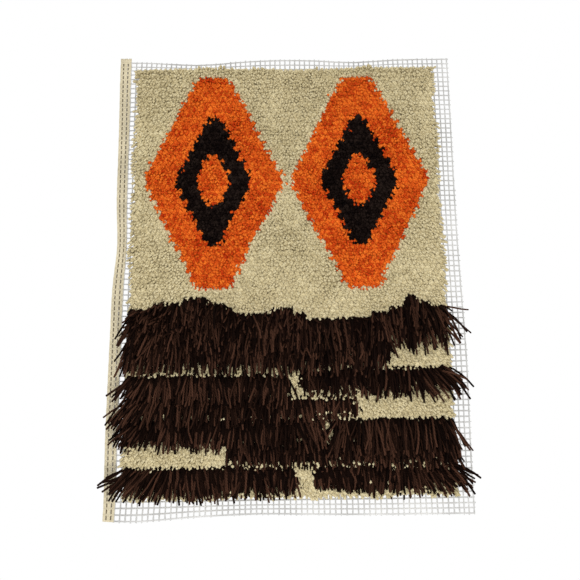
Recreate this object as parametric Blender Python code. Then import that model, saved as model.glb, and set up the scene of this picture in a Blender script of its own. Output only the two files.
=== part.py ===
"""Latch hook wall hanging: cut yarn pile hooked on a stiff, open rug canvas with a woven selvedge.

It hangs by its top edge, with its back against the wall plane y = 0 and its pile towards -Y.
The origin is on the back of the canvas, in the middle of the cut top edge. Units are metres.
"""

import math

import bmesh
import bpy

MM = 0.001

# The canvas is counted in holes, from the middle across and from the top edge down.
HOLE_WIDTH = 6.87 * MM
HOLE_HEIGHT = 6.95 * MM
CANVAS_HALF_HOLES = 33
CANVAS_ROWS = 88
SELVEDGE_HOLES = 2
FIELD_HALF_HOLES = 29
MARGIN_ROWS = 3
CANVAS_THICKNESS = 1.2 * MM
BAR_WIDTH = 2.2 * MM
SELVEDGE_ABOVE_EDGE = 7 * MM

# The pile is charted in blocks of two holes by two, and each gap cut in the net spans two holes too.
BLOCK = 2
BLOCKS_ACROSS = 29
BLOCKS_DOWN = 41
FIELD_HALF = FIELD_HALF_HOLES * HOLE_WIDTH
FIELD_TOP = -MARGIN_ROWS * HOLE_HEIGHT
FIELD_BOTTOM = FIELD_TOP - BLOCKS_DOWN * BLOCK * HOLE_HEIGHT
CANVAS_HALF = CANVAS_HALF_HOLES * HOLE_WIDTH
CANVAS_BOTTOM = -CANVAS_ROWS * HOLE_HEIGHT

# Short pile
SEAM = 0.3 * MM
PILE_HEIGHT = 19 * MM
PILE_LUMP = 0.8 * MM
LUMP_LENGTH = 42 * MM
RIM_SPREAD = 4 * MM
RIM_DROP = 5 * MM
CREASE = 1.2 * MM

# The chart: two tall stepped lozenges side by side, each an orange frame, a black ring and an orange core.
LOZENGE_COLUMNS = {"left": 7, "right": 21}
LOZENGE_ROW = 11
LOZENGE_ZONES = (
    # name, half width and half height in blocks, yarn
    ("core", 1, 2, "orange_yarn"),
    ("ring", 3, 6, "black_yarn"),
    ("frame", 6, 10, "orange_yarn"),
)

# Long pile: each row is hooked in one row of blocks, and its free tips reach below the next row's root.
SHAG_ROWS = (
    # name, block row, first block, blocks, tips below the root at the left and right end
    ("shag_row_1", 23, 0, 29, 44 * MM, 44 * MM),
    ("shag_row_2", 26, 0, 24, 44 * MM, 44 * MM),
    ("shag_row_3_left", 29, 0, 15, 42 * MM, 42 * MM),
    ("shag_row_3_right", 29, 16, 13, 42 * MM, 46 * MM),
    ("shag_row_4", 32, 0, 21, 36 * MM, 36 * MM),
    ("shag_row_5_left", 34, 0, 18, 33 * MM, 33 * MM),
    ("shag_row_5_right", 34, 19, 10, 36 * MM, 36 * MM),
    ("shag_row_6", 36, 8, 21, 34 * MM, 33 * MM),
    ("shag_row_7_left", 38, 0, 15, 40 * MM, 28 * MM),
    ("shag_row_7_right", 38, 16, 13, 28 * MM, 35 * MM),
)
# Past the right end of row 2, the tips of row 1 hang lower.
LONG_END = 22 * MM
LONG_END_FROM = 132 * MM
FIRST_SHAG_BLOCK_ROW = SHAG_ROWS[0][1]
SHAG_PROFILE = (
    # out from the canvas, above the root's middle, share of the way to the tip
    (0.3 * MM, 6.5 * MM, 0.0),
    (24.0 * MM, 3.5 * MM, 0.4),
    (30.0 * MM, -8.0 * MM, 0.6),
    (34.0 * MM, -22.0 * MM, 0.8),
    (34.5 * MM, None, 1.0),
    (32.0 * MM, None, 1.0),
    (29.5 * MM, -22.0 * MM, 0.8),
    (21.8 * MM, -6.5 * MM, 0.4),
    (0.3 * MM, -6.5 * MM, 0.0),
)
STATION = 10.5 * MM
SHAG_LUMP = 0.7 * MM
LOCK_DEPTH = 6 * MM
FAN_SPREAD = 20 * MM
FAN_START = 140 * MM
FAN_LIFT = 0.3

# The hanging swells softly away from the wall beside a flat middle strip.
SWELL = 4.5 * MM
SWELL_LENGTH = 235 * MM
FLAT_HALF = 12 * MM

# The bare margins hang unevenly, in soft waves.
MARGIN_WAVES = (
    # margin, direction, how far it moves, middle of the wave, half its width
    ("left", "x", 4.5 * MM, -272 * MM, 45 * MM),
    ("left", "x", -1.5 * MM, -450 * MM, 120 * MM),
    ("left", "y", -6.0 * MM, -300 * MM, 50 * MM),
    ("left", "y", -3.0 * MM, -520 * MM, 50 * MM),
    ("right", "x", -2.0 * MM, -240 * MM, 130 * MM),
    ("right", "x", 2.5 * MM, -600 * MM, 150 * MM),
    ("right", "y", -3.0 * MM, -420 * MM, 70 * MM),
    ("top", "z", -6.0 * MM, -118 * MM, 55 * MM),
    ("top", "z", -4.0 * MM, 95 * MM, 45 * MM),
    ("bottom", "y", -5.0 * MM, -180 * MM, 50 * MM),
    ("bottom", "z", -4.0 * MM, -190 * MM, 50 * MM),
    ("bottom", "z", 2.0 * MM, -40 * MM, 60 * MM),
)

# name: red, green, blue and roughness
FINISHES = {
    "canvas_cotton": (0.78, 0.74, 0.66, 0.85),
    "cream_yarn": (0.58, 0.48, 0.27, 0.95),
    "orange_yarn": (0.82, 0.16, 0.015, 0.9),
    "black_yarn": (0.006, 0.005, 0.005, 0.9),
    "brown_yarn": (0.035, 0.017, 0.01, 0.9),
}


def yarn_or_cotton(name):
    """A matt material of one colour."""
    material = bpy.data.materials.get(name)
    if material is None:
        red, green, blue, roughness = FINISHES[name]
        material = bpy.data.materials.new(name)
        material.use_nodes = True
        shader = material.node_tree.nodes["Principled BSDF"]
        shader.inputs["Base Color"].default_value = (red, green, blue, 1)
        shader.inputs["Roughness"].default_value = roughness
        shader.inputs["Metallic"].default_value = 0
    return material


def finished(bm, name, material, collection):
    """The mesh as a named object in the hanging's collection."""
    bmesh.ops.recalc_face_normals(bm, faces=bm.faces)
    if bm.calc_volume(signed=True) < 0:
        bmesh.ops.reverse_faces(bm, faces=bm.faces)
    mesh = bpy.data.meshes.new(name)
    bm.to_mesh(mesh)
    bm.free()
    thing = bpy.data.objects.new(name, mesh)
    thing.data.materials.append(yarn_or_cotton(material))
    collection.objects.link(thing)
    return thing


def bump(distance, width):
    """1 in the middle, falling softly to 0 a few widths away."""
    return math.exp(-((distance / width) ** 2))


def ramp(value):
    """0 up to 0, then a smooth rise to 1 at 1."""
    held = min(1.0, max(0.0, value))
    return held * held * (3 - 2 * held)


def swell(x):
    """How far the cloth stands off the wall at x."""
    away = max(0.0, abs(x) - FLAT_HALF)
    return SWELL * 0.5 * (1 - math.cos(2 * math.pi * away / SWELL_LENGTH))


def lump(x, z, height):
    """Soft, uneven hills of the pile."""
    turn = 2 * math.pi / LUMP_LENGTH
    across = math.sin(turn * x + 1.7 * math.sin(0.55 * turn * z))
    down = math.sin(0.85 * turn * z + 1.3 * math.sin(0.65 * turn * x) + 0.8)
    return height * 0.5 * (across + down)


def ruled_grid(lines_x, lines_z):
    """A flat grid in the XZ plane, with its lines at the given places."""
    bm = bmesh.new()
    bmesh.ops.create_grid(bm, x_segments=len(lines_x) - 1, y_segments=len(lines_z) - 1, size=0.5)
    for vertex in bm.verts:
        column = round((vertex.co.x + 0.5) * (len(lines_x) - 1))
        row = round((0.5 - vertex.co.y) * (len(lines_z) - 1))
        vertex.co = (lines_x[column], 0, lines_z[row])
    return bm


def thickened(bm, depth):
    """The flat sheet made solid towards -Y. Returns the new front layer's vertices."""
    made = bmesh.ops.extrude_face_region(bm, geom=bm.faces[:])
    front = [item for item in made["geom"] if isinstance(item, bmesh.types.BMVert)]
    bmesh.ops.translate(bm, verts=front, vec=(0, -depth, 0))
    return front


def in_field(point):
    """True strictly inside the piled field."""
    clear = 0.1 * MM
    return abs(point.x) < FIELD_HALF - clear and FIELD_BOTTOM + clear < point.z < FIELD_TOP - clear


def net_lines_across():
    """The left and right edges of the canvas and of every bar that runs up and down."""
    lines = [-CANVAS_HALF, (SELVEDGE_HOLES - CANVAS_HALF_HOLES) * HOLE_WIDTH + BAR_WIDTH / 2]
    for hole in range(-FIELD_HALF_HOLES, CANVAS_HALF_HOLES, BLOCK):
        middle = hole * HOLE_WIDTH
        lines += [middle - BAR_WIDTH / 2, middle + BAR_WIDTH / 2]
    return lines + [CANVAS_HALF - BAR_WIDTH, CANVAS_HALF]


def net_lines_down():
    """The upper and lower edges of the selvedge, the canvas and every bar that runs across."""
    rows = [MARGIN_ROWS / 2]
    rows += [MARGIN_ROWS + BLOCK * row for row in range(BLOCKS_DOWN + 1)]
    rows += [CANVAS_ROWS - MARGIN_ROWS / 2]
    lines = [SELVEDGE_ABOVE_EDGE, 0, -BAR_WIDTH]
    for row in rows:
        middle = -row * HOLE_HEIGHT
        lines += [middle + BAR_WIDTH / 2, middle - BAR_WIDTH / 2]
    return lines + [CANVAS_BOTTOM + BAR_WIDTH, CANVAS_BOTTOM]


def hung_margin(point):
    """Moves a canvas point as the bare margins hang: the edges waver, and the top one meets the wall."""
    x, y, z = point
    share = {
        "left": ramp((-FIELD_HALF - x) / (CANVAS_HALF - FIELD_HALF)),
        "right": ramp((x - FIELD_HALF) / (CANVAS_HALF - FIELD_HALF)),
        "top": ramp((z - FIELD_TOP) / -FIELD_TOP),
        "bottom": ramp((FIELD_BOTTOM - z) / (FIELD_BOTTOM - CANVAS_BOTTOM)),
    }
    moved = {"x": x, "y": y - swell(x) * (1 - share["top"]), "z": z}
    for margin, direction, distance, middle, width in MARGIN_WAVES:
        along = z if margin in ("left", "right") else x
        moved[direction] += share[margin] * distance * bump(along - middle, width)
    return moved["x"], moved["y"], moved["z"]


def canvas(collection):
    """The rug canvas: a dense selvedge down the left, and an open net cut through where it is bare."""
    lines_x, lines_z = net_lines_across(), net_lines_down()
    bm = ruled_grid(lines_x, lines_z)
    narrowest_gap = 1.5 * BAR_WIDTH
    selvedge_edge = lines_x[1]
    cut = []
    for face in bm.faces:
        middle = face.calc_center_median()
        width = max(v.co.x for v in face.verts) - min(v.co.x for v in face.verts)
        height = max(v.co.z for v in face.verts) - min(v.co.z for v in face.verts)
        open_hole = min(width, height) > narrowest_gap and middle.x > selvedge_edge
        if middle.z > 0 and middle.x > selvedge_edge or open_hole and not in_field(middle):
            cut.append(face)
    bmesh.ops.delete(bm, geom=cut, context="FACES")
    kept_lines = {round(x, 6) for x in lines_x[3::2]}
    joined = []
    for edge in bm.edges:
        if not all(in_field(face.calc_center_median()) for face in edge.link_faces):
            continue
        start, end = (vertex.co for vertex in edge.verts)
        if abs(start.z - end.z) < 1e-7 or round(start.x, 6) not in kept_lines:
            joined.append(edge)
    bmesh.ops.dissolve_edges(bm, edges=joined, use_verts=True)
    thickened(bm, CANVAS_THICKNESS)
    for vertex in bm.verts:
        vertex.co = hung_margin(vertex.co)
    return finished(bm, "canvas", "canvas_cotton", collection)


def block_lines_across():
    return [-FIELD_HALF + BLOCK * HOLE_WIDTH * column for column in range(BLOCKS_ACROSS + 1)]


def block_lines_down():
    return [FIELD_TOP - BLOCK * HOLE_HEIGHT * row for row in range(BLOCKS_DOWN + 1)]


def shag_blocks():
    """Every block that holds the root of a long row."""
    return {(first + step, row) for _, row, first, count, _, _ in SHAG_ROWS for step in range(count)}


def charted(column, row, rooted):
    """The name of the short pile that fills a block of the chart."""
    if (column, row) in rooted:
        return None
    if row >= FIRST_SHAG_BLOCK_ROW:
        return "ground_pile_lower"
    down = abs(row - LOZENGE_ROW)
    for side, middle in LOZENGE_COLUMNS.items():
        for zone, half_width, half_height, _ in LOZENGE_ZONES:
            if down <= half_height and abs(column - middle) <= half_width - down // 2:
                return f"lozenge_{zone}_{side}"
    return "ground_pile_upper"


def drawn_in(bm):
    """Moves the rim of a flat zone in by half a seam, so that neighbouring zones stay apart."""
    moves = []
    for vertex in bm.verts:
        if not vertex.is_boundary:
            continue
        towards = [face.calc_center_median() - vertex.co for face in vertex.link_faces]
        step = [0.0, 0.0, 0.0]
        for axis in (0, 2):
            pull = sum(math.copysign(1, way[axis]) for way in towards)
            if abs(pull) > 0.5:
                step[axis] = math.copysign(SEAM / 2, pull)
        moves.append((vertex, step))
    for vertex, step in moves:
        vertex.co.x += step[0]
        vertex.co.z += step[2]


def piled_point(x, y, z, on_seam):
    """Where a vertex of the pile's front goes: raised in hills, creased at seams, spread at the rim."""
    near = SEAM
    height = PILE_HEIGHT + lump(x, z, PILE_LUMP)
    if on_seam:
        height -= CREASE
    side = abs(x) > FIELD_HALF - near
    end = z > FIELD_TOP - near or z < FIELD_BOTTOM + near
    if side:
        x += math.copysign(RIM_SPREAD, x)
    if end:
        z += RIM_SPREAD if z > FIELD_TOP - near else -RIM_SPREAD
    if side or end:
        height -= RIM_DROP
    return x, y - height, z


def pile(name, material, rooted, collection):
    """One colour of short pile, as a lumpy slab on the canvas."""
    bm = ruled_grid(block_lines_across(), block_lines_down())
    other = []
    for face in bm.faces:
        middle = face.calc_center_median()
        column = int((middle.x + FIELD_HALF) / (BLOCK * HOLE_WIDTH))
        row = int((FIELD_TOP - middle.z) / (BLOCK * HOLE_HEIGHT))
        if charted(column, row, rooted) != name:
            other.append(face)
    bmesh.ops.delete(bm, geom=other, context="FACES")
    drawn_in(bm)
    bmesh.ops.translate(bm, verts=bm.verts, vec=(0, -CANVAS_THICKNESS - SEAM, 0))
    back_y = -CANVAS_THICKNESS - SEAM
    seams = {(v.co.x, v.co.z) for v in bm.verts if v.is_boundary}
    for vertex in thickened(bm, 0):
        x, y, z = vertex.co
        vertex.co = piled_point(x, y, z, (x, z) in seams)
    joined = []
    for edge in bm.edges:
        start, end = (vertex.co for vertex in edge.verts)
        level = abs(start.z - end.z) < 1e-7
        on_back = all(abs(v.co.y - back_y) < 1e-7 for face in edge.link_faces for v in face.verts)
        if level and on_back:
            joined.append(edge)
    bmesh.ops.dissolve_edges(bm, edges=joined, use_verts=True)
    for vertex in bm.verts:
        vertex.co.y -= swell(vertex.co.x)
    return finished(bm, name, material, collection)


def shag_row(name, row, first, count, left_reach, right_reach, collection):
    """A row of long pile: it leaves the canvas, turns down over the pile below and ends in ragged locks."""
    left = -FIELD_HALF + BLOCK * HOLE_WIDTH * first + SEAM / 2
    length = BLOCK * HOLE_WIDTH * count - SEAM
    stations = max(2, round(length / STATION))
    root = FIELD_TOP - BLOCK * HOLE_HEIGHT * (row + 0.5)
    front = -CANVAS_THICKNESS
    bm = bmesh.new()
    outline = [
        bm.verts.new((left, front - out, root - left_reach if above is None else root + above))
        for out, above, _ in SHAG_PROFILE
    ]
    shares = [share for _, _, share in SHAG_PROFILE]
    rings = [outline]
    face = bm.faces.new(outline)
    for _ in range(stations):
        made = bmesh.ops.extrude_face_region(bm, geom=[face, *face.edges])
        face = next(item for item in made["geom"] if isinstance(item, bmesh.types.BMFace))
        bmesh.ops.translate(bm, verts=face.verts, vec=(length / stations, 0, 0))
        by_place = {(round(v.co.y, 7), round(v.co.z, 7)): v for v in face.verts}
        rings.append([by_place[round(v.co.y, 7), round(v.co.z, 7)] for v in outline])
    for station, ring in enumerate(rings):
        for vertex, share in zip(ring, shares):
            x = vertex.co.x
            fan = ramp((abs(x) - FAN_START) / (FIELD_HALF - FAN_START))
            if share == 1.0:
                lift = LOCK_DEPTH * (0.35 * (station % 2) + 0.3 * (1 + math.sin(station * 2.4 + row)))
                reach = left_reach + (right_reach - left_reach) * station / stations
                if name == "shag_row_1":
                    reach += LONG_END * ramp((x - LONG_END_FROM) / STATION)
                vertex.co.z += left_reach - reach + lift + FAN_LIFT * fan * reach
            if share > 0:
                vertex.co.y -= lump(x, root * 3 + share, SHAG_LUMP)
                vertex.co.x += math.copysign(FAN_SPREAD * fan * share**1.5, x)
    for vertex in bm.verts:
        vertex.co.y -= swell(max(-FIELD_HALF, min(FIELD_HALF, vertex.co.x)))
    return finished(bm, name, "brown_yarn", collection)


def build():
    for thing in list(bpy.data.objects):
        bpy.data.objects.remove(thing, do_unlink=True)
    collection = bpy.data.collections.new("latch_hook_wall_hanging")
    bpy.context.scene.collection.children.link(collection)
    canvas(collection)
    rooted = shag_blocks()
    for name in ("ground_pile_upper", "ground_pile_lower"):
        pile(name, "cream_yarn", rooted, collection)
    for side in LOZENGE_COLUMNS:
        for zone, _, _, yarn in LOZENGE_ZONES:
            pile(f"lozenge_{zone}_{side}", yarn, rooted, collection)
    for row in SHAG_ROWS:
        shag_row(*row, collection)


build()
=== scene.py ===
import math

import bmesh
import bpy
import numpy as np
from mathutils import Matrix, Vector


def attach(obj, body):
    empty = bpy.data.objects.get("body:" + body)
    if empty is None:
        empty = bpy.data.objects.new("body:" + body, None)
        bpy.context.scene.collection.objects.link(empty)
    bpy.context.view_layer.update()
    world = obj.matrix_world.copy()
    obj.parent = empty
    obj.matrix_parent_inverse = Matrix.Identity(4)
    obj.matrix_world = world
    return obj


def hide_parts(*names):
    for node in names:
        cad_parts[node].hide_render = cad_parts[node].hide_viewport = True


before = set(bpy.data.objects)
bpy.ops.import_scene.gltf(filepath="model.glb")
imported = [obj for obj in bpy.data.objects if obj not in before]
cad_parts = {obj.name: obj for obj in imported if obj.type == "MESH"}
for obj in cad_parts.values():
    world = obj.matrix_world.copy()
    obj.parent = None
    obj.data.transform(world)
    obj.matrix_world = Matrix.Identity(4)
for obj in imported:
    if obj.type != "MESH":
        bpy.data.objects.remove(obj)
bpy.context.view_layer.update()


# The rug canvas. Stiff, sized cotton threads are woven in pairs to an open net, and along the left they
# are beaten close to a beige selvedge tape. The other three edges are cut, and their threads stick out.
MM = 0.001
HOLE_WIDTH = 6.87 * MM
HOLE_HEIGHT = 6.95 * MM
NET_HALF_HOLES = 33
NET_ROWS = 88
SELVEDGE_HOLES = 2
FIELD_HALF_HOLES = 29
MARGIN_ROWS = 3
FIELD_HALF = FIELD_HALF_HOLES * HOLE_WIDTH
FIELD_TOP = -MARGIN_ROWS * HOLE_HEIGHT
NET_HALF = NET_HALF_HOLES * HOLE_WIDTH
NET_BOTTOM = -NET_ROWS * HOLE_HEIGHT
FIELD_BOTTOM = NET_BOTTOM - FIELD_TOP

THREAD_RADIUS = 0.5 * MM
THREAD_SIDES = 4
PAIR_SPREAD = 0.44 * MM
WEAVE_DEPTH = 0.42 * MM
WEAVE_MIDDLE = -1.3 * MM
STUB = 1.4 * MM
TAPE_ABOVE_EDGE = 7 * MM
TAPE_THREADS = (0.4, 1.2, 2.0, 2.75, 5.35, 6.15, 6.9, 7.65, 8.35, 11.1, 11.9, 12.7, 13.45)
TAPE_SLOTS = (4.05, 9.73)
TAPE_THREAD_RADIUS = 0.62 * MM
TAPE_PAIR_SPREAD = 0.58 * MM
TAPE_END_WEFTS = np.array([1.9, 3.2, 4.5, 5.8]) * MM
# The two numbers below give the half width and the recess of the dark slot threads, which are painted shade.
SLOT_HALF = 0.85 * MM
SLOT_RECESS = 0.7 * MM

SWELL = 4.5 * MM
SWELL_LENGTH = 235 * MM
FLAT_HALF = 12 * MM
MARGIN_WAVES = (
    # margin, direction, how far it moves, middle of the wave, half its width
    ("left", 0, -2.0 * MM, 0 * MM, 90 * MM),
    ("left", 0, 4.5 * MM, -272 * MM, 45 * MM),
    ("left", 0, -1.5 * MM, -450 * MM, 120 * MM),
    ("left", 1, -6.0 * MM, -300 * MM, 50 * MM),
    ("left", 1, -3.0 * MM, -520 * MM, 50 * MM),
    ("right", 0, -2.0 * MM, -240 * MM, 130 * MM),
    ("right", 0, -3.0 * MM, -600 * MM, 150 * MM),
    ("right", 1, -3.0 * MM, -420 * MM, 70 * MM),
    ("top", 2, -2.0 * MM, -250 * MM, 120 * MM),
    ("top", 2, -6.0 * MM, -118 * MM, 55 * MM),
    ("top", 2, -4.0 * MM, 95 * MM, 45 * MM),
    ("bottom", 1, -5.0 * MM, -180 * MM, 50 * MM),
    ("bottom", 2, -4.0 * MM, -190 * MM, 50 * MM),
    ("bottom", 2, 2.0 * MM, -40 * MM, 60 * MM),
    ("bottom", 2, 3.0 * MM, 0 * MM, 400 * MM),
)
chance = np.random.default_rng(18)


def ramp(value):
    """0 up to 0, then a smooth rise to 1 at 1."""
    held = np.clip(value, 0, 1)
    return held * held * (3 - 2 * held)


def swell(x):
    """How far the cloth stands off the wall at x."""
    away = np.maximum(0, np.abs(x) - FLAT_HALF)
    return SWELL * 0.5 * (1 - np.cos(2 * math.pi * away / SWELL_LENGTH))


def hung(points):
    """Points of the flat canvas, moved to where they hang, with its uneven margins."""
    x, z = points[..., 0], points[..., 2]
    share = {
        "left": ramp((-FIELD_HALF - x) / (NET_HALF - FIELD_HALF)),
        "right": ramp((x - FIELD_HALF) / (NET_HALF - FIELD_HALF)),
        "top": ramp((z - FIELD_TOP) / -FIELD_TOP),
        "bottom": ramp((FIELD_BOTTOM - z) / (FIELD_BOTTOM - NET_BOTTOM)),
    }
    moved = points.copy()
    moved[..., 1] -= swell(x) * (1 - share["top"])
    for margin, direction, distance, middle, width in MARGIN_WAVES:
        along = z if margin in ("left", "right") else x
        moved[..., direction] += share[margin] * distance * np.exp(-(((along - middle) / width) ** 2))
    return moved


def round_stick(sides, lengths):
    """A stick along +Z, 1 in radius and 1 long for each length, with a domed end.

    Its UV runs around it and along it.
    """
    bm = bmesh.new()
    bmesh.ops.create_cone(bm, cap_ends=True, segments=sides, radius1=1, radius2=1, depth=lengths)
    bmesh.ops.translate(bm, verts=bm.verts, vec=(0, 0, lengths / 2))
    for cut in range(1, lengths):
        whole = bm.verts[:] + bm.edges[:] + bm.faces[:]
        bmesh.ops.bisect_plane(bm, geom=whole, plane_co=(0, 0, cut), plane_no=(0, 0, 1))
    end = [face for face in bm.faces if face.normal.z > 0.9]
    dome = bmesh.ops.poke(bm, faces=end)["verts"]
    bmesh.ops.translate(bm, verts=dome, vec=(0, 0, 0.5))
    uv = bm.loops.layers.uv.new("yarn")
    for face in bm.faces:
        middle = face.calc_center_median()
        facing = math.atan2(middle.y, middle.x)
        for loop in face.loops:
            place = loop.vert.co
            turned = math.atan2(place.y, place.x) - facing if place.xy.length > 0.5 else 0
            turned = (turned + math.pi) % (2 * math.pi) - math.pi
            loop[uv].uv = ((facing + turned) / (2 * math.pi), place.z / lengths)
    mesh = bpy.data.meshes.new("stick")
    bm.to_mesh(mesh)
    bm.free()
    return mesh


def numbers(collection, field, width=1, kind=np.float32):
    """One property of all the items of a mesh, as an array."""
    values = np.empty(len(collection) * width, kind)
    collection.foreach_get(field, values)
    return values.reshape(-1, width) if width > 1 else values


def bent_along(name, lines, radii, across, sides, dye, flat=1.0):
    """One mesh of many round strands, each a stick bent along its own line of points."""
    count, rings = lines.shape[:2]
    stick = round_stick(sides, rings - 1)
    shape = numbers(stick.vertices, "co", 3)
    ring = np.clip(np.round(shape[:, 2]).astype(int), 0, rings - 1)
    ring[shape[:, 2] > rings - 1] = rings - 1
    past_end = np.maximum(0, shape[:, 2] - (rings - 1))

    heading = np.gradient(lines, axis=1)
    heading /= np.linalg.norm(heading, axis=2, keepdims=True)
    side = np.cross(heading, np.array(across, float))
    side /= np.linalg.norm(side, axis=2, keepdims=True)
    other = np.cross(heading, side)
    radius = np.broadcast_to(radii, (count, rings))[:, ring, None]
    placed = lines[:, ring] + radius * (
        shape[:, 0, None] * side[:, ring] * flat
        + shape[:, 1, None] * other[:, ring]
        + past_end[:, None] * heading[:, ring]
    )

    corners = numbers(stick.loops, "vertex_index", kind=np.int32)
    starts = numbers(stick.polygons, "loop_start", kind=np.int32)
    uvs = numbers(stick.uv_layers["yarn"].data, "uv", 2)
    copy = np.arange(count, dtype=np.int32)[:, None]
    mesh = bpy.data.meshes.new(name)
    mesh.vertices.add(count * len(shape))
    mesh.vertices.foreach_set("co", placed.ravel())
    mesh.loops.add(count * len(corners))
    mesh.loops.foreach_set("vertex_index", (corners + copy * len(shape)).ravel())
    mesh.polygons.add(count * len(starts))
    mesh.polygons.foreach_set("loop_start", (starts + copy * len(corners)).ravel())
    mesh.update(calc_edges=True)
    mesh.uv_layers.new(name="yarn").data.foreach_set("uv", np.tile(uvs, (count, 1)).ravel())
    shade = mesh.attributes.new("dye", "FLOAT", "POINT")
    shade.data.foreach_set("value", np.repeat(dye, len(shape)))
    mesh.shade_smooth()
    bpy.data.meshes.remove(stick)
    piece = bpy.data.objects.new(name, mesh)
    bpy.context.scene.collection.objects.link(piece)
    return piece


def joined(name, pieces):
    """Several pieces made one."""
    bpy.ops.object.select_all(action="DESELECT")
    for piece in pieces:
        piece.select_set(True)
    bpy.context.view_layer.objects.active = pieces[0]
    bpy.ops.object.join()
    pieces[0].select_set(False)
    pieces[0].name = name
    return pieces[0]


def shaded(name, roughness, sheen):
    """An empty cloth material, with its shader and a maker of nodes."""
    material = bpy.data.materials.new(name)
    material.use_nodes = True
    nodes, links = material.node_tree.nodes, material.node_tree.links
    shader = nodes["Principled BSDF"]
    shader.inputs["Roughness"].default_value = roughness
    shader.inputs["Specular IOR Level"].default_value = 0.03
    shader.inputs["Sheen Weight"].default_value = sheen
    shader.inputs["Sheen Roughness"].default_value = 0.5

    def add(kind, settings=None, **inputs):
        node = nodes.new(kind)
        for field, value in (settings or {}).items():
            setattr(node, field, value)
        for field, value in inputs.items():
            socket = node.inputs[int(field[1:]) if field[1:].isdigit() else field.replace("_", " ")]
            if isinstance(value, bpy.types.NodeSocket):
                links.new(value, socket)
            else:
                socket.default_value = value
        return node

    return material, shader, add, links


def warps():
    """The threads that run down the net, in pairs that pass over and under the weft by turns."""
    lines = []
    for hole in range(SELVEDGE_HOLES - NET_HALF_HOLES, NET_HALF_HOLES + 1):
        for side in (-1, 1):
            rows = np.arange(-1, NET_ROWS + 2)
            z = -np.clip(rows, 0, NET_ROWS) * HOLE_HEIGHT
            z[0] += STUB * chance.uniform(0.4, 1.5)
            z[-1] -= STUB * chance.uniform(0.4, 1.5)
            x = hole * HOLE_WIDTH + side * PAIR_SPREAD + chance.normal(0, 0.1 * MM, len(rows))
            y = WEAVE_MIDDLE + WEAVE_DEPTH * side * (1 - 2 * ((rows + hole) % 2))
            lines.append(np.stack([x, y, z], 1))
    return np.array(lines)


def wefts():
    """The threads that run across the net."""
    lines = []
    for row in range(NET_ROWS + 1):
        for side in (-1, 1):
            behind_pile = np.arange(-FIELD_HALF_HOLES + 3, FIELD_HALF_HOLES - 1, 4)
            left = np.arange(SELVEDGE_HOLES - NET_HALF_HOLES, -FIELD_HALF_HOLES + 1)
            right = np.arange(FIELD_HALF_HOLES, NET_HALF_HOLES + 2)
            holes = np.concatenate([left, behind_pile, right])
            x = np.minimum(holes, NET_HALF_HOLES) * HOLE_WIDTH
            x[-1] += STUB * chance.uniform(0.4, 1.7)
            z = -row * HOLE_HEIGHT + side * PAIR_SPREAD + chance.normal(0, 0.1 * MM, len(holes))
            y = WEAVE_MIDDLE - 0.3 * WEAVE_DEPTH * side * (1 - 2 * ((holes + row) % 2))
            lines.append(np.stack([x, y, z], 1))
    return np.array(lines)


def tape_warps():
    """The close threads of the selvedge, which leave two ladders of small slots between them."""
    lines = []
    for number, offset in enumerate(TAPE_THREADS):
        rows = np.arange(-1, NET_ROWS + 2)
        z = -np.clip(rows, 0, NET_ROWS) * HOLE_HEIGHT
        z[0] = TAPE_ABOVE_EDGE - chance.uniform(0, 0.6) * MM
        z[-1] -= STUB * 0.6
        x = -NET_HALF + offset * MM + chance.normal(0, 0.05 * MM, len(rows))
        y = WEAVE_MIDDLE + WEAVE_DEPTH * (1 - 2 * ((rows + number) % 2))
        lines.append(np.stack([x, y, z], 1))
    return np.array(lines)


def slot_shadow_threads():
    """Dark threads laid deep in the slots of the tape: painted shade, standing in for the shadow seen through
    the slots.
    """
    rows = np.arange(NET_ROWS + 1)
    x = [np.full(len(rows), -NET_HALF + offset * MM) for offset in TAPE_SLOTS]
    y = np.full(len(rows), WEAVE_MIDDLE + SLOT_RECESS)
    return np.array([np.stack([side, y, -rows * HOLE_HEIGHT], 1) for side in x])


def tape_wefts():
    """The same threads inside the tape, and the few that hold its end above the cut edge of the net."""
    rows = np.repeat(-np.arange(NET_ROWS + 1) * HOLE_HEIGHT, 2)
    pairs = rows + np.tile([-TAPE_PAIR_SPREAD, TAPE_PAIR_SPREAD], NET_ROWS + 1)
    heights = np.concatenate([TAPE_END_WEFTS, pairs])
    x = np.linspace(-NET_HALF + 0.3 * MM, -NET_HALF + SELVEDGE_HOLES * HOLE_WIDTH, 5)
    return np.array([[(a, WEAVE_MIDDLE, z) for a in x] for z in heights])


def canvas_cotton():
    """Sized cotton: off-white in the net, beige in the tape, a little greyer here and there, and dark brown
    on the threads deep in the tape's slots, which is painted shade.
    """
    material, shader, add, links = shaded("canvas_cotton", 0.8, 0.1)
    tape = add("ShaderNodeAttribute", {"attribute_name": "dye"})
    place = add("ShaderNodeTexCoord")
    patches = add("ShaderNodeTexNoise", Vector=place.outputs["Object"], Scale=22, Detail=3)
    threads = add("ShaderNodeValToRGB", Fac=tape.outputs["Fac"])
    threads.color_ramp.elements[0].color = (0.5, 0.496, 0.483, 1)
    threads.color_ramp.elements[1].color = (0.54, 0.48, 0.34, 1)
    # The slot threads get painted shade: a dark brown that stands in for the shadow behind the tape's slots.
    threads.color_ramp.elements.new(SLOT_SHADOW_THREAD).color = (0.16, 0.13, 0.085, 1)
    worn = add("ShaderNodeMapRange", Value=patches.outputs["Fac"],
               From_Min=0.3, From_Max=0.7, To_Min=0.8, To_Max=1.1)
    toned = add("ShaderNodeVectorMath", {"operation": "SCALE"}, _0=threads.outputs["Color"])
    links.new(worn.outputs["Result"], toned.inputs["Scale"])
    links.new(toned.outputs["Vector"], shader.inputs["Base Color"])
    fibre = add("ShaderNodeTexNoise", Vector=place.outputs["Object"], Scale=2600, Detail=2)
    bump = add("ShaderNodeBump", Height=fibre.outputs["Fac"], Strength=0.3, Distance=0.2 * MM)
    links.new(bump.outputs["Normal"], shader.inputs["Normal"])
    return material


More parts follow.
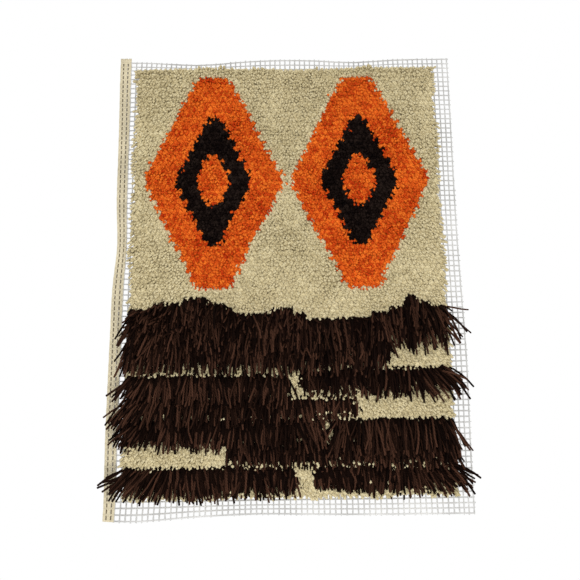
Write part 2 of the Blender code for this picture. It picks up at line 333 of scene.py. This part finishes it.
ACROSS_X, ACROSS_Z = (1, 0, 0), (0, 0, 1)
# Dye values of the threads; the slot value gives the painted shade in the tape's slots.
WHITE_THREAD, SLOT_SHADOW_THREAD, BEIGE_THREAD = 0, 0.5, 1
net = [
    bent_along(name, hung(lines), radius, across, THREAD_SIDES, np.full(len(lines), thread), flat)
    for name, lines, radius, flat, across, thread in (
        ("warps", warps(), THREAD_RADIUS, 1, ACROSS_X, WHITE_THREAD),
        ("wefts", wefts(), THREAD_RADIUS, 1, ACROSS_Z, WHITE_THREAD),
        ("tape", tape_warps(), TAPE_THREAD_RADIUS, 1, ACROSS_X, BEIGE_THREAD),
        ("tape_slot_shadows", slot_shadow_threads(), SLOT_HALF, 0.3, ACROSS_X, SLOT_SHADOW_THREAD),
        ("tape_wefts", tape_wefts(), TAPE_THREAD_RADIUS, 1, ACROSS_Z, BEIGE_THREAD),
    )
]
canvas = joined("canvas_net", net)
canvas.data.materials.append(canvas_cotton())
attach(canvas, "root")
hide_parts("canvas")


# The short pile. Each knot is a cut length of rug yarn folded round one weft pair. Its two ends, each
# split into two plies, stand out as a dense pile that droops a little, and loose inner wool closes it
# below the tips. The chart is counted in holes of the canvas.
KNOT_COLUMNS = 2 * FIELD_HALF_HOLES
KNOT_ROWS = NET_ROWS - 2 * MARGIN_ROWS - 1
PILE_START = 2.0 * MM
PILE_LENGTH = 20 * MM
PILE_RADII = np.array([1.4, 1.85, 1.65]) * MM
PILE_SIDES = 4
TIP_SIDES = (-1, 1, -1, 1)
TIP_LEVELS = (-1, -1, 1, 1)
TIP_APART = 1.7 * MM
PILE_DROOP = 0.48
PLY_DROOP = 0.09
SPLAYED_EDGE = 16 * MM
LIFTED_EDGE = 18 * MM
LIFTED_RISE = 14 * MM
FELT_RADII = np.array([4.2, 5.4]) * MM
FELT_SHAPE = np.array([(2.6, 0), (14.8, 5.4)]) * MM  # off the wall and down, at its root and its end
FELT_SIDES = 4
PRESSED_SHARE = 0.94
PRESSED_DROOP = 0.22
PRESSED_SHORTER = 0.25
PRESSED_FELT_SHORTER = 0.35
LOOSE_PLACES = (
    # first row, row after the last, first column, column after the last, share of pile pressed down there
    (62, 64, 31, 42, 0.1),
    (66, 68, 33, 42, 0.15),
    (75, 76, 18, 33, 0.1),
    (75, 76, 33, 58, 0.35),
)
FIRST_SHAG_ROW = 46
LOZENGE_COLUMNS = (15, 43)
LOZENGE_ROW = 23
LOZENGE_ZONES = (
    # yarn, half width in holes on the middle row, half height in rows
    ("orange", 3.5, 5),
    ("black", 7.5, 13),
    ("orange", 13.5, 21),
)
LONG_ROWS = (
    # piece, first knot row, rows, first column, columns, ends of each knot; at the left and right end:
    # share of the ends that stand up, length of an end, its sideways lean
    ("shag_row_1", 46, 5, 0, 58, 5, (0.75, 0.3), (53 * MM, 61 * MM), (-0.30, 0.25)),
    ("shag_row_2", 51, 5, 0, 47, 5, (0.4, 0.4), (53 * MM, 55 * MM), (-0.32, 0.0)),
    ("shag_row_3_left", 60, 2, 0, 29, 5, (0.06, 0.06), (41 * MM, 49 * MM), (-0.6, -0.12)),
    ("shag_row_3_right", 59, 2, 31, 27, 5, (0.06, 0.06), (39 * MM, 50 * MM), (0.12, 0.72)),
    ("shag_row_4", 64, 2, 0, 41, 5, (0.12, 0.12), (50 * MM, 36 * MM), (-0.6, 0.08)),
    ("shag_row_5_left", 68, 2, 0, 35, 5, (0.06, 0.06), (41 * MM, 46 * MM), (-0.5, 0.18)),
    ("shag_row_5_right", 68, 2, 37, 21, 5, (0.06, 0.06), (56 * MM, 58 * MM), (-0.12, 0.18)),
    ("shag_row_6", 72, 2, 18, 40, 5, (0.12, 0.12), (37 * MM, 39 * MM), (0.15, 0.38)),
    ("shag_row_7_left", 76, 2, 0, 30, 5, (0.06, 0.06), (49 * MM, 41 * MM), (-0.92, 0.05)),
    ("shag_row_7_right", 76, 2, 33, 25, 6, (0.06, 0.06), (32 * MM, 45 * MM), (0.22, 0.85)),
)
# How many knot rows the top of row 1 is lowered at these columns.
LOWERED_COLUMNS = (0, 7, 12, 16, 20, 24, 28, 33, 41, 46, 49, 51, 54, 58)
LOWERED_ROWS = (2, 1, 0, 1.4, 3, 3, 1.6, 4, 4, 3, 2, 0, 1, 3)


def chart():
    """The yarn of every knot, by row and column."""
    yarn = np.full((KNOT_ROWS, KNOT_COLUMNS), "cream", dtype="<U8")
    row = np.arange(KNOT_ROWS)[:, None] + 0.5
    column = np.arange(KNOT_COLUMNS)[None, :] + 0.5
    down = np.abs(row - LOZENGE_ROW)
    for middle in LOZENGE_COLUMNS:
        across = np.abs(column - middle)
        for name, half_width, half_height in reversed(LOZENGE_ZONES):
            yarn[(across < half_width - 0.5 * down) & (down < half_height)] = name
    for long_row in LONG_ROWS:
        yarn[long_row_knots(*long_row[:5])] = "brown"
    return yarn


def long_row_knots(name, first_row, rows, first_column, columns):
    """The rows and columns of the knots of one long row. The top of row 1 follows a wavy line."""
    row, column = (part.ravel() for part in np.indices((rows, columns)))
    column = column + first_column
    lowered = np.round(np.interp(column, LOWERED_COLUMNS, LOWERED_ROWS)).astype(int)
    kept = row >= lowered * (name == "shag_row_1")
    return (row + first_row)[kept], column[kept]


def knots(row, column):
    """The places of knots on the canvas."""
    x = (column + 0.5 - FIELD_HALF_HOLES) * HOLE_WIDTH
    z = -(MARGIN_ROWS + row) * HOLE_HEIGHT
    return x, z


def combed(x, z):
    """A soft, uneven lean of the pile, sideways and down."""
    sideways = 0.10 * np.sin(41 * x + 2.1 * np.sin(23 * z)) + 0.06 * np.sin(97 * z + 61 * x)
    downwards = 0.08 * np.sin(53 * z + 1.7 * np.sin(31 * x)) + 0.05 * np.sin(88 * x - 40 * z)
    return sideways, downwards


def pressed_down(row, column):
    """1 where the long ends of the two knot rows above press a knot's pile down, else 0."""
    above = [yarn_chart[np.maximum(row - step, 0), column] == "brown" for step in (1, 2)]
    share = np.full(len(row), PRESSED_SHARE)
    for top, bottom, left, right, loose_share in LOOSE_PLACES:
        share[(row >= top) & (row < bottom) & (column >= left) & (column < right)] = loose_share
    return (above[0] | above[1]) * (chance.random(len(row)) < share)


def short_pile(name, chosen, pressed):
    """The two ends of every chosen knot, each of them split into two plies."""
    x, z, pressed = (np.repeat(part, len(TIP_SIDES)) for part in (*knots(*chosen), pressed))
    count = len(x)
    side, level = (np.tile(part, count // len(TIP_SIDES)) for part in (TIP_SIDES, TIP_LEVELS))
    sideways, downwards = combed(x, z)
    lean = chance.normal(0, 0.09, count) + sideways
    droop = PILE_DROOP + PLY_DROOP * level + chance.normal(0, 0.06, count) + downwards
    lean += 0.22 * np.sign(x) * ramp((np.abs(x) - FIELD_HALF + SPLAYED_EDGE) / SPLAYED_EDGE)
    droop -= 0.12 * ramp((z - FIELD_TOP + SPLAYED_EDGE) / SPLAYED_EDGE)
    droop -= 0.28 * ramp((FIELD_BOTTOM + LIFTED_EDGE - z) / LIFTED_RISE)
    droop += PRESSED_DROOP * pressed
    length = PILE_LENGTH * chance.normal(1, 0.04, count) * (1 - PRESSED_SHORTER * pressed)
    along = np.linspace(0, 1, len(PILE_RADII))[None, :]
    root_x = x + side * TIP_APART + chance.normal(0, 0.35 * MM, count)
    root_z = z + level * 0.3 * MM + chance.normal(0, 0.5 * MM, count)
    out = np.sqrt(np.maximum(0.3, 1 - lean**2 - droop**2))
    line_x = root_x[:, None] + (length * lean)[:, None] * along**1.3
    line_y = -PILE_START - swell(x)[:, None] - (length * out)[:, None] * along
    line_z = root_z[:, None] - (length * droop)[:, None] * along**1.5
    radii = PILE_RADII[None, :] * chance.normal(1, 0.06, (count, 1))
    dye = np.repeat(chance.random(len(chosen[0])), len(TIP_SIDES)) + chance.normal(0, 0.08, count)
    lines = np.stack([line_x, line_y, line_z], 2)
    return bent_along(name, lines, radii, ACROSS_X, PILE_SIDES, dye)


def felted(name, chosen, shape, radii, shades, pressed):
    """The loose inner wool of every chosen knot, which closes the pile below its tips. Rows are staggered."""
    x, z = knots(*chosen)
    x = x + (chosen[0] % 2 - 0.5) * 0.5 * HOLE_WIDTH
    line_x = np.repeat(x[:, None], len(shape), 1)
    reach = chance.normal(1, 0.05, len(x)) * (1 - PRESSED_FELT_SHORTER * pressed)
    line_y = -swell(x)[:, None] - shape[0, 0] - (shape[:, 0] - shape[0, 0]) * reach[:, None]
    line_z = z[:, None] - shape[:, 1] * reach[:, None]
    dye = chance.uniform(*shades, len(x))
    return bent_along(name, np.stack([line_x, line_y, line_z], 2), radii, ACROSS_X, FELT_SIDES, dye)


def rug_yarn(name, dark, middle, light, sheen, plies, turns, bump_depth, painted_root_shade):
    """Soft plied yarn: each strand has its own shade, with a twist and loose fibres.

    The grooves between its plies are darkened, which is painted shade, and it may be darkened towards its
    root, which is painted shade as well.
    """
    material, shader, add, links = shaded(name, 0.85, sheen)
    dye = add("ShaderNodeAttribute", {"attribute_name": "dye"})
    uv = add("ShaderNodeUVMap", {"uv_map": "yarn"})
    place = add("ShaderNodeTexCoord")
    patches = add("ShaderNodeTexNoise", Vector=place.outputs["Object"], Scale=9, Detail=2)
    fibre = add("ShaderNodeTexNoise", Vector=place.outputs["Object"], Scale=1500, Detail=3, Roughness=0.7)
    own = add("ShaderNodeMath", {"operation": "MULTIPLY"}, _0=dye.outputs["Fac"], _1=0.7)
    area = add("ShaderNodeMath", {"operation": "MULTIPLY_ADD"},
               _0=patches.outputs["Fac"], _1=0.35, _2=own.outputs[0])
    fine = add("ShaderNodeMath", {"operation": "MULTIPLY_ADD"},
               _0=fibre.outputs["Fac"], _1=0.4, _2=area.outputs[0])
    shades = add("ShaderNodeValToRGB", Fac=fine.outputs[0])
    shades.color_ramp.elements[0].position = 0.35
    shades.color_ramp.elements[0].color = (*dark, 1)
    shades.color_ramp.elements[1].position = 1.05
    shades.color_ramp.elements[1].color = (*light, 1)
    shades.color_ramp.elements.new(0.7).color = (*middle, 1)
    parts = add("ShaderNodeSeparateXYZ", Vector=uv.outputs["UV"])
    climb = add("ShaderNodeMath", {"operation": "MULTIPLY_ADD"},
                _0=parts.outputs["Y"], _1=turns, _2=parts.outputs["X"])
    ply = add("ShaderNodeMath", {"operation": "MULTIPLY"}, _0=climb.outputs[0], _1=2 * math.pi * plies)
    wave = add("ShaderNodeMath", {"operation": "SINE"}, _0=ply.outputs[0])
    # Painted shade: the colour darkens in the grooves between the plies, where shade falls.
    painted_crease_shade = add("ShaderNodeMapRange", Value=wave.outputs[0],
                 From_Min=-1, From_Max=-0.2, To_Min=0.55, To_Max=1)
    # Painted shade: the colour darkens towards the root of each strand, where the pile above shades it.
    tips = add("ShaderNodeMapRange", Value=parts.outputs["Y"],
               From_Min=0.1, From_Max=0.6, To_Min=painted_root_shade, To_Max=1)
    painted_shade = add("ShaderNodeMath", {"operation": "MULTIPLY"},
              _0=painted_crease_shade.outputs["Result"], _1=tips.outputs["Result"])
    plied = add("ShaderNodeVectorMath", {"operation": "SCALE"}, _0=shades.outputs["Color"])
    links.new(painted_shade.outputs["Value"], plied.inputs["Scale"])
    links.new(plied.outputs["Vector"], shader.inputs["Base Color"])
    rough = add("ShaderNodeMath", {"operation": "MULTIPLY_ADD"},
                _0=fibre.outputs["Fac"], _1=2.2, _2=wave.outputs[0])
    bump = add("ShaderNodeBump", Height=rough.outputs[0], Strength=0.7, Distance=bump_depth)
    links.new(bump.outputs["Normal"], shader.inputs["Normal"])
    return material


yarn_chart = chart()
row_number = np.arange(KNOT_ROWS)[:, None] * np.ones((1, KNOT_COLUMNS))
YARNS = (
    # yarn; dark, middle and light shade; sheen, plies, turns of the twist, depth of the bump, painted shade
    # at the root
    ("cream", (0.485, 0.407, 0.228), (0.545, 0.463, 0.270), (0.595, 0.513, 0.312), 0.1, 3, 1, 0.35 * MM, 1),
    ("orange", (0.445, 0.034, 0.004), (0.595, 0.084, 0.009), (0.73, 0.156, 0.017), 0, 3, 1, 0.35 * MM, 1),
    ("black", (0.003, 0.0015, 0.0015), (0.006, 0.003, 0.0025), (0.015, 0.009, 0.007), 0, 3, 1, 0.35 * MM, 1),
    ("brown", (0.0035, 0.0014, 0.0009), (0.0093, 0.0036, 0.0021), (0.054, 0.023, 0.0135),
     0, 2, 6, 0.4 * MM, 0.55),
)
FINISHES = {name: rug_yarn(f"{name}_yarn", *looks) for name, *looks in YARNS}
PILE_PIECES = (
    # piece, yarn, first and last knot row, CAD nodes that it stands for
    ("cream_pile_upper", "cream", 0, FIRST_SHAG_ROW, ("ground_pile_upper",)),
    ("cream_pile_lower", "cream", FIRST_SHAG_ROW, KNOT_ROWS, ("ground_pile_lower",)),
    ("orange_pile", "orange", 0, KNOT_ROWS,
     ("lozenge_frame_left", "lozenge_frame_right", "lozenge_core_left", "lozenge_core_right")),
    ("black_pile", "black", 0, KNOT_ROWS, ("lozenge_ring_left", "lozenge_ring_right")),
)
for name, yarn, first, last, nodes in PILE_PIECES:
    chosen = np.nonzero((yarn_chart == yarn) & (row_number >= first) & (row_number < last))
    pressed = pressed_down(*chosen)
    # The inner wool takes only the lighter half of its yarn's shades: painted light that lifts the shade
    # between the tufts.
    wool = felted(f"{name}_felt", chosen, FELT_SHAPE, FELT_RADII, (0.5, 1.0), pressed)
    pile = joined(name, [short_pile(name, chosen, pressed), wool])
    pile.data.materials.append(FINISHES[yarn])
    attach(pile, "root")
    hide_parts(*nodes)


# The backs of the knots. Behind the canvas each knot shows as two short stitches round its weft pair,
# in the colour of its yarn, so the pattern is seen from behind too.
STITCH_RADIUS = 1.15 * MM
STITCH_SPREAD = 1.55 * MM
STITCH_SIDES = 3
STITCH_FLATNESS = 0.6
STITCH_SHAPE = np.array([(-1.6, 2.8), (1.0, 0), (-1.6, -2.8)]) * MM


def knot_backs(name, chosen):
    """The stitches of the chosen knots on the back of the canvas."""
    x, z = (np.repeat(part, 2) for part in knots(*chosen))
    x = x + np.tile([-1, 1], len(x) // 2) * STITCH_SPREAD + chance.normal(0, 0.15 * MM, len(x))
    line_x = x[:, None] + chance.normal(0, 0.2 * MM, (len(x), len(STITCH_SHAPE)))
    line_y = WEAVE_MIDDLE - swell(x)[:, None] + STITCH_SHAPE[None, :, 0]
    line_z = z[:, None] + STITCH_SHAPE[None, :, 1] + chance.normal(0, 0.15 * MM, (len(x), 1))
    dye = np.repeat(chance.random(len(x) // 2), 2)
    lines = np.stack([line_x, line_y, line_z], 2)
    return bent_along(name, lines, STITCH_RADIUS, ACROSS_X, STITCH_SIDES, dye, STITCH_FLATNESS)


for yarn, finish in FINISHES.items():
    stitches = knot_backs(f"{yarn}_knot_backs", np.nonzero(yarn_chart == yarn))
    stitches.data.materials.append(finish)
    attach(stitches, "root")


# The long rows. Longer cut lengths are knotted in two neighbouring rows of holes, and in five in rows
# 1 and 2. Their ends come out over the short pile, turn down under their own weight and fan out past
# the sides of the field. A share of them is shorter and stands up.
SHAG_RADII = np.array([1.1, 1.2, 1.32, 1.35, 1.3, 1.15]) * MM
SHAG_SIDES = 5
FAN_REACH = 70 * MM
LONG_FELT_RADII = np.array([4.2, 4.8, 4.0]) * MM
LONG_FELT_SHAPE = np.array([(2.4, 0), (17.0, 4.0), (20.5, 19.0)]) * MM
FELTED_LENGTH = 44 * MM
ENDS_SPREAD = 2.5 * MM
STRAY_SHARE = 0.012
UPRIGHT_LENGTH = (0.5, 0.75)
UPRIGHT_ANGLE = 48
HANGING_ANGLE = 83
UPRIGHT_THICKNESS = 0.88
UPRIGHT_CURL = 0.26
HANGING_CURL = 0.16
TURNED_DOWN_AT = 0.64


def shag(name, long_row):
    """The strands of one long row."""
    _, _, _, first_column, columns, ends, standing, lengths, leans = long_row
    x, z = (np.repeat(part, ends) for part in knots(*long_row_knots(*long_row[:5])))
    count = len(x)
    left, right = ((first_column + side * columns - FIELD_HALF_HOLES) * HOLE_WIDTH for side in (0, 1))
    upright = chance.random(count) < np.interp(x, (left, right), standing)
    hanging_share = np.clip(chance.normal(0.98, 0.08, count), 0.8, 1.12)
    length_share = np.where(upright, chance.uniform(*UPRIGHT_LENGTH, count), hanging_share)
    length = np.interp(x, (left, right), lengths) * length_share
    at_left, at_right = ramp(1 - (x - left) / FAN_REACH), ramp(1 - (right - x) / FAN_REACH)
    sideways = leans[0] * at_left + leans[1] * at_right + 0.09 * np.sin(x * 75 + z * 40)
    sideways += chance.normal(0, 0.11, count) * (1 + 0.6 * (at_left + at_right) + upright)
    sideways += chance.normal(0, 0.9, count) * (chance.random(count) < STRAY_SHARE)
    end = np.tile(np.linspace(-1, 1, ends), count // ends)
    x = x + end * ENDS_SPREAD + chance.normal(0, 0.5 * MM, count)
    z = z + chance.normal(0, 0.9 * MM, count)
    start = np.radians(np.clip(chance.normal(0, 9, count), -14, 25))
    hanging = np.clip(chance.normal(HANGING_ANGLE, 7, count), 66, 97)
    standing_up = np.clip(chance.normal(UPRIGHT_ANGLE, 12, count), 28, 75)
    finish = np.radians(np.where(upright, standing_up, hanging))
    rings = len(SHAG_RADII)
    along = np.linspace(0, 1, rings)[None, :]
    bend = start[:, None] + (finish - start)[:, None] * ramp(along / TURNED_DOWN_AT)
    turns = along * chance.uniform(0.4, 1.1, (count, 1)) + chance.random((count, 1))
    curl_size = np.where(upright, UPRIGHT_CURL, HANGING_CURL)[:, None]
    curl = sideways[:, None] + curl_size * np.sin(2 * math.pi * turns) * ramp(3 * along)
    step = (length / (rings - 1))[:, None]
    middle_bend = 0.5 * (bend[:, 1:] + bend[:, :-1])
    middle_curl = 0.5 * (curl[:, 1:] + curl[:, :-1])
    run_x = np.cumsum(step * np.sin(np.abs(middle_bend)) * np.sin(middle_curl), 1)
    run_y = np.cumsum(step * np.cos(middle_bend), 1)
    run_z = np.cumsum(step * np.sin(middle_bend) * np.cos(middle_curl), 1)
    zero = np.zeros((count, 1))
    line_x = x[:, None] + np.hstack([zero, run_x])
    line_y = -PILE_START - swell(x)[:, None] - np.hstack([zero, run_y])
    line_z = z[:, None] - np.hstack([zero, run_z])
    thickness = chance.normal(1, 0.08, (count, 1)) * np.where(upright, UPRIGHT_THICKNESS, 1)[:, None]
    radii = SHAG_RADII[None, :] * thickness
    dye = chance.random(count)
    return bent_along(name, np.stack([line_x, line_y, line_z], 2), radii, ACROSS_X, SHAG_SIDES, dye)


for long_row in LONG_ROWS:
    node, lengths = long_row[0], long_row[7]
    chosen = long_row_knots(*long_row[:5])
    felt_shape = LONG_FELT_SHAPE * np.clip(min(lengths) / FELTED_LENGTH, 0.8, 1)
    # The inner wool of the long rows takes only the darkest brown shades: painted shade for the deep valleys
    # between the strands.
    wool = felted(f"{node}_felt", chosen, felt_shape, LONG_FELT_RADII, (0.0, 0.35), 0)
    strands = joined(f"{node}_strands", [shag(node, long_row), wool])
    strands.data.materials.append(FINISHES["brown"])
    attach(strands, "root")
    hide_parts(node)


# The studio: a pale floor far below the hanging, a white room and two soft lamps.
floor_mesh = bmesh.new()
bmesh.ops.create_grid(floor_mesh, x_segments=1, y_segments=1, size=1.5)
bmesh.ops.translate(floor_mesh, verts=floor_mesh.verts, vec=(0, 0, -1.7))
floor_data = bpy.data.meshes.new("floor")
floor_mesh.to_mesh(floor_data)
floor_mesh.free()
floor = bpy.data.objects.new("floor", floor_data)
bpy.context.scene.collection.objects.link(floor)
pale = bpy.data.materials.new("pale_floor")
pale.use_nodes = True
pale.node_tree.nodes["Principled BSDF"].inputs["Base Color"].default_value = (0.85, 0.85, 0.85, 1)
pale.node_tree.nodes["Principled BSDF"].inputs["Roughness"].default_value = 0.9
floor_data.materials.append(pale)

world = bpy.data.worlds.new("white_room")
bpy.context.scene.world = world
world.use_nodes = True
world.node_tree.nodes["Background"].inputs["Color"].default_value = (1, 1, 1, 1)
world.node_tree.nodes["Background"].inputs["Strength"].default_value = 1.0
bpy.context.scene.view_settings.view_transform = "Standard"

LAMPS = (
    # name, place, aim, size, power
    ("key_lamp", (-0.28, -1.6, -0.25), (0, 0, -0.31), 0.8, 10),
    ("low_lamp", (0.15, -1.1, -1.05), (0.05, 0, -0.5), 0.6, 9),
)
for name, place, aim, size, power in LAMPS:
    light = bpy.data.lights.new(name, "AREA")
    light.size = size
    light.energy = power
    lamp = bpy.data.objects.new(name, light)
    lamp.location = place
    lamp.rotation_euler = (Vector(aim) - Vector(place)).to_track_quat("-Z", "Y").to_euler()
    bpy.context.scene.collection.objects.link(lamp)


# The camera stands 0.9 m in front of the hanging and 0.2 m below its middle, and looks slightly up.
CAMERA_PLACE = Vector((-0.0063, -0.9, -0.5276))
CAMERA_YAW = 0.0103
CAMERA_PITCH = 0.2176
CAMERA_ROLL = -0.0136
CAMERA_LENS = 43.97
ahead = Vector((
    math.sin(CAMERA_YAW) * math.cos(CAMERA_PITCH),
    math.cos(CAMERA_YAW) * math.cos(CAMERA_PITCH),
    math.sin(CAMERA_PITCH),
))
level = Vector((math.cos(CAMERA_YAW), -math.sin(CAMERA_YAW), 0))
upright = level.cross(ahead)
right = level * math.cos(CAMERA_ROLL) + upright * math.sin(CAMERA_ROLL)
up = upright * math.cos(CAMERA_ROLL) - level * math.sin(CAMERA_ROLL)
camera_data = bpy.data.cameras.new("camera")
camera_data.lens = CAMERA_LENS
camera_data.sensor_width = 36
camera = bpy.data.objects.new("camera", camera_data)
turned = Matrix((right, up, -ahead)).transposed()
camera.matrix_world = Matrix.Translation(CAMERA_PLACE) @ turned.to_4x4()
bpy.context.scene.collection.objects.link(camera)
bpy.context.scene.camera = camera
